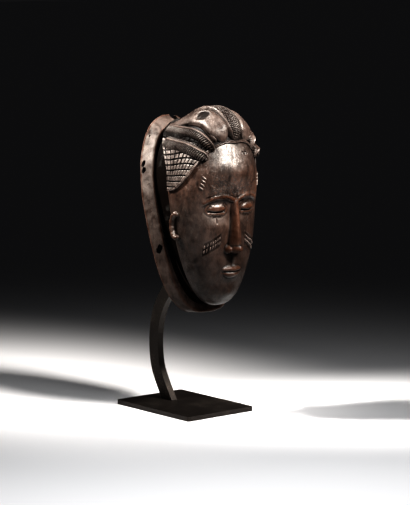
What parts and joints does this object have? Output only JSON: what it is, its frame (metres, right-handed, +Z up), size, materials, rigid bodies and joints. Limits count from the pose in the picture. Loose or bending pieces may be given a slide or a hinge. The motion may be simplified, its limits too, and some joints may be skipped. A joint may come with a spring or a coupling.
{
  "type": "carved wooden face mask on a steel display stand",
  "caption": "Hollow carved wooden face mask with a braided coiffure and back collar, held up on a curved flat steel bar and foot plate.",
  "frame": {"origin": "middle of the foot plate's underside", "axes": "+Z up; the mask faces -Y; +X is towards the mask's own left side"},
  "size_m": [0.128, 0.187, 0.403],
  "materials": {
    "carved_wood": "dark wood with a hand-worn gloss",
    "stand_steel": "blackened steel, satin"
  },
  "bodies": {
    "root": {"mask": "carved_wood", "stand_bar": "stand_steel", "base_plate": "stand_steel"}
  },
  "joints": []
}
